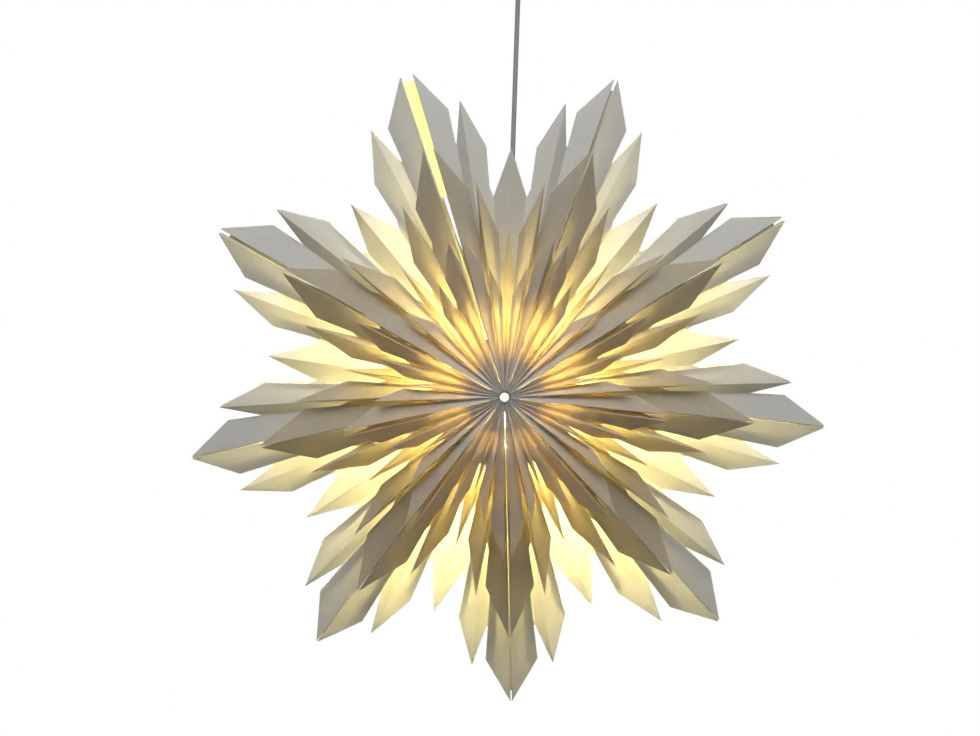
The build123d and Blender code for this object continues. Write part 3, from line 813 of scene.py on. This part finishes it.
finish(tree, add_node(tree, "ShaderNodeBsdfPrincipled",
                      {"Base Color": tone, "Metallic": solder, "Roughness": gloss,
                       "Normal": pitted}).outputs["BSDF"])
dress(tip, "bulb_contact")
print("solder dot, mm wide:", 2000 * solder_edge[0])

# %% Frosted globe
etch_mm, haze_mm = 0.6, 14.0

glass, tree, place = new_material("frosted_glass")
etch = add_node(tree, "ShaderNodeTexNoise",
                {"Vector": place, "Scale": 1000 / etch_mm, "Detail": 3.0}).outputs["Fac"]
haze = add_node(tree, "ShaderNodeTexNoise",
                {"Vector": place, "Scale": 1000 / haze_mm, "Detail": 2.0}).outputs["Fac"]
milk = add_node(tree, "ShaderNodeMix",
                {"Factor": haze, "A": colour("#F2F1EC"), "B": colour("#FBFAF6")},
                data_type="RGBA").outputs["Result"]
frost = add_node(tree, "ShaderNodeMapRange",
                 {"Value": haze, "To Min": 0.35, "To Max": 0.55}).outputs["Result"]
etched = add_node(tree, "ShaderNodeBump",
                  {"Height": etch, "Strength": 0.15, "Distance": 0.0001}).outputs["Normal"]
frosted = add_node(tree, "ShaderNodeBsdfPrincipled",
                   {"Base Color": milk, "Roughness": frost, "IOR": 1.5,
                    "Transmission Weight": 1.0, "Normal": etched}).outputs["BSDF"]
open_way = add_node(tree, "ShaderNodeBsdfTransparent", {"Color": milk}).outputs["BSDF"]
to_light = add_node(tree, "ShaderNodeLightPath").outputs["Is Shadow Ray"]
finish(tree, add_node(tree, "ShaderNodeMixShader",
                      {0: to_light, 1: frosted, 2: open_way}).outputs["Shader"])
dress(glass, "bulb_glass")
print("globe, mm across:", round(1000 * nodes["bulb_glass"].dimensions.x, 1))

# %% Light-emitting sticks
bead_mm = 2.566
bands = 20 / (2 * pi)                  # that a wave texture draws to a unit, at scale 1
stem_radius = 0.0034                   # the sticks stand outside it
stick_power = 8.0

sticks, tree, place = new_material("glowing_sticks")
off_axis = distance_off(tree, place, keep=(1.0, 1.0, 0.0))
on_stick = add_node(tree, "ShaderNodeMath", {0: off_axis, 1: stem_radius},
                    operation="GREATER_THAN").outputs["Value"]
beads = add_node(tree, "ShaderNodeTexWave",
                 {"Vector": place, "Scale": 1000 / bead_mm / bands, "Distortion": 0.4},
                 bands_direction="Z").outputs["Fac"]
coat = add_node(tree, "ShaderNodeMix",
                {"Factor": beads, "A": colour("#F2B04A"), "B": colour("#FFE2A0")},
                data_type="RGBA").outputs["Result"]
tone = add_node(tree, "ShaderNodeMix",
                {"Factor": on_stick, "A": colour("#DDE3E0"), "B": coat},
                data_type="RGBA").outputs["Result"]
power = add_node(tree, "ShaderNodeMath", {0: on_stick, 1: stick_power},
                 operation="MULTIPLY").outputs["Value"]
ripple = add_node(tree, "ShaderNodeBump",
                  {"Height": beads, "Strength": 0.3, "Distance": 0.0001}).outputs["Normal"]
finish(tree, add_node(tree, "ShaderNodeBsdfPrincipled",
                      {"Base Color": tone, "Roughness": 0.4, "Normal": ripple,
                       "Emission Color": coat,
                       "Emission Strength": power}).outputs["BSDF"])
dress(sticks, "bulb_filaments")
print("dressed so far:", len(dressed), "of", len(nodes))

# %% [markdown]
# ## The lamp's light
#
# The frosted globe is the real source of the soft gradients on the leaves, so the light
# is a ball that would just fill the glass, and it turns with the lamp. It stands 16 mm
# above the middle of the globe, 20 mm below the star's, because the brightest leaves in
# the photograph place it there. In the photograph the lit paper is pale yellow, greener
# than a filament's orange, so the light is a warm white.

# %% Lamp light
lamp_watts = 124.0
ball_radius = 0.0215
below_star = 0.020

lamp = bpy.data.lights.new("lamp_light", "POINT")
lamp.energy = lamp_watts
lamp.color = colour("#FFF6D0")[:3]
lamp.shadow_soft_size = ball_radius
lamp_light = bpy.data.objects.new("lamp_light", lamp)
bpy.context.scene.collection.objects.link(lamp_light)
lamp_light.location = star - Vector((0, 0, below_star))
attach(lamp_light, "lamp")
print("lamp light at", [round(v, 3) for v in lamp_light.location])

# %% [markdown]
# ## Cord sheath
#
# The cord is sheathed in grey PVC. It is pressed out of a round die, which leaves faint
# lines along it, and the cord has picked up a little dust. The same finish goes on the
# drawn cord and on the fixed end inside the canopy.

# %% Cord sheath
dust_mm, die_line_mm = 12.0, 0.5
along_cord = (1.0, 1.0, 0.03)          # stretches a pattern into lines along the cord

sheath, tree, place = new_material("grey_pvc_sheath")
dust = add_node(tree, "ShaderNodeTexNoise",
                {"Vector": place, "Scale": 1000 / dust_mm, "Detail": 5.0,
                 "Roughness": 0.7}).outputs["Fac"]
drawn = add_node(tree, "ShaderNodeMapping",
                 {"Vector": place, "Scale": along_cord}).outputs["Vector"]
die_lines = add_node(tree, "ShaderNodeTexNoise",
                     {"Vector": drawn, "Scale": 1000 / die_line_mm,
                      "Detail": 2.0}).outputs["Fac"]
tone = add_node(tree, "ShaderNodeMix",
                {"Factor": dust, "A": colour("#98989C"), "B": colour("#AAAAAE")},
                data_type="RGBA").outputs["Result"]
gloss = add_node(tree, "ShaderNodeMapRange",
                 {"Value": dust, "To Min": 0.42, "To Max": 0.62}).outputs["Result"]
lined = add_node(tree, "ShaderNodeBump",
                 {"Height": die_lines, "Strength": 0.2, "Distance": 0.0001}).outputs["Normal"]
finish(tree, add_node(tree, "ShaderNodeBsdfPrincipled",
                      {"Base Color": tone, "Roughness": gloss,
                       "Normal": lined}).outputs["BSDF"])
cord.data.materials.append(sheath)
dress(sheath, "cord_tail")
print("sheath on the cord and its fixed end")

# %% [markdown]
# ## Powder-coated cup
#
# The ceiling cup is spun steel with a white powder coat. The powder melts into a skin
# with a soft orange-peel texture, bumps about 1.5 mm across, with a finer ripple on top.
# Its white drifts a little from one side of the cup to the other.

# %% Powder coat
peel_mm, drift_mm = 1.5, 30.0

powder, tree, place = new_material("white_powder_coat")
peel = add_node(tree, "ShaderNodeTexNoise",
                {"Vector": place, "Scale": 1000 / peel_mm, "Detail": 2.0}).outputs["Fac"]
shade = add_node(tree, "ShaderNodeTexNoise",
                 {"Vector": place, "Scale": 1000 / drift_mm, "Detail": 3.0}).outputs["Fac"]
tone = add_node(tree, "ShaderNodeMix",
                {"Factor": shade, "A": colour("#E8E8E4"), "B": colour("#F0F0ED")},
                data_type="RGBA").outputs["Result"]
gloss = add_node(tree, "ShaderNodeMapRange",
                 {"Value": shade, "To Min": 0.30, "To Max": 0.42}).outputs["Result"]
orange_peel = add_node(tree, "ShaderNodeBump",
                       {"Height": peel, "Strength": 0.25,
                        "Distance": 0.0002}).outputs["Normal"]
finish(tree, add_node(tree, "ShaderNodeBsdfPrincipled",
                      {"Base Color": tone, "Roughness": gloss,
                       "Normal": orange_peel}).outputs["BSDF"])
dress(powder, "canopy_cup")
print("pieces still without a finish:", sorted(set(nodes) - dressed))

# %% [markdown]
# ## The studio
#
# The photograph was cut out onto white. Its leaves are pale on their upper facets and
# darker below, so the room's light came from overhead, somewhat toward the viewer, with
# little from the sides. A large soft disc gives that light, and a second one, about half
# as strong, keeps the back of the star from going dark. The background looks full white
# to the camera, and in mirrors and through glass, but lights the paper only faintly. A
# ray that goes through paper counts as both a passing and a scattered one, so
# subtracting the scattered ones leaves those that went through glass.

# %% Background and room light
faint, full_white = 0.14, 1.0
disc_width = 1.6

world = bpy.data.worlds.new("studio")
bpy.context.scene.world = world
world.use_nodes = True
tree = world.node_tree
tree.nodes.clear()
rays = add_node(tree, "ShaderNodeLightPath")
through_glass = add_node(tree, "ShaderNodeMath",
                         {0: rays.outputs["Is Transmission Ray"],
                          1: rays.outputs["Is Diffuse Ray"]},
                         operation="SUBTRACT", use_clamp=True).outputs["Value"]
seen = add_node(tree, "ShaderNodeMath",
                {0: rays.outputs["Is Camera Ray"], 1: rays.outputs["Is Glossy Ray"]},
                operation="MAXIMUM").outputs["Value"]
seen = add_node(tree, "ShaderNodeMath", {0: seen, 1: through_glass},
                operation="MAXIMUM").outputs["Value"]
strength = add_node(tree, "ShaderNodeMapRange",
                    {"Value": seen, "To Min": faint, "To Max": full_white}).outputs["Result"]
background = add_node(tree, "ShaderNodeBackground",
                      {"Color": (1, 1, 1, 1), "Strength": strength}).outputs["Background"]
add_node(tree, "ShaderNodeOutputWorld", {"Surface": background})


def soft_disc(name, place, watts):
    """A round soft light, turned to the star."""
    disc = bpy.data.lights.new(name, "AREA")
    disc.shape = "DISK"
    disc.size = disc_width
    disc.energy = watts
    light = bpy.data.objects.new(name, disc)
    bpy.context.scene.collection.objects.link(light)
    light.location = place
    light.rotation_euler = (star - light.location).to_track_quat("-Z", "Y").to_euler()
    print(name, "metres from the star:", round((star - light.location).length, 2))


soft_disc("soft_key", (0.0, -1.1, 1.3), 30.0)
soft_disc("soft_back", (0.0, 1.5, 0.9), 16.0)

# %% [markdown]
# ## The floor
#
# The lamp hangs high, so a pale floor lies well below it, 4.6 m under the ceiling. That
# leaves room for a camera that looks up from below. The floor only catches a soft shadow
# in views from above. Most of it shows as white to the camera, and toward its edge all
# of it does, so that it draws no grey band or line against the white background.

# %% Floor
floor_size, floor_height = 14.0, -4.6
blend_start, blend_end = 1.5, 6.8      # distances from its middle
white_share = 0.8                      # how much of it shows as white up to the first

bpy.ops.mesh.primitive_plane_add(size=floor_size, location=(0, 0, floor_height))
floor = bpy.context.object
floor.name = "floor"
floor_paint, tree, place = new_material("pale_floor")
matt = add_node(tree, "ShaderNodeBsdfDiffuse", {"Color": colour("#F4F4F2")}).outputs["BSDF"]
bright = add_node(tree, "ShaderNodeEmission",
                  {"Color": (1, 1, 1, 1), "Strength": full_white}).outputs["Emission"]
seen = add_node(tree, "ShaderNodeLightPath").outputs["Is Camera Ray"]
blend = add_node(tree, "ShaderNodeMapRange",
                 {"Value": distance_off(tree, place), "From Min": blend_start,
                  "From Max": blend_end, "To Min": white_share,
                  "To Max": 1.0}).outputs["Result"]
share = add_node(tree, "ShaderNodeMath", {0: seen, 1: blend},
                 operation="MULTIPLY").outputs["Value"]
finish(tree, add_node(tree, "ShaderNodeMixShader",
                      {0: share, 1: matt, 2: bright}).outputs["Shader"])
floor.data.materials.append(floor_paint)
print("floor at", round(floor.location.z, 2))

# %% [markdown]
# ## Light bounces
#
# Light inside the star is passed on from leaf to leaf several times before it gets out.
# Too few bounces leave the folds black, too many wash out the fade toward the tips.

# %% Bounces
cycles = bpy.context.scene.cycles
cycles.max_bounces = 12
cycles.diffuse_bounces = 6
cycles.transmission_bounces = 10
cycles.transparent_max_bounces = 12
print("diffuse bounces:", cycles.diffuse_bounces)

# %% [markdown]
# ## Finish
#
# The render shows its colours through the standard view, with no film curve. The drawn
# model must stay inside the imported one's box.

# %% Finish
bpy.context.scene.view_settings.view_transform = "Standard"
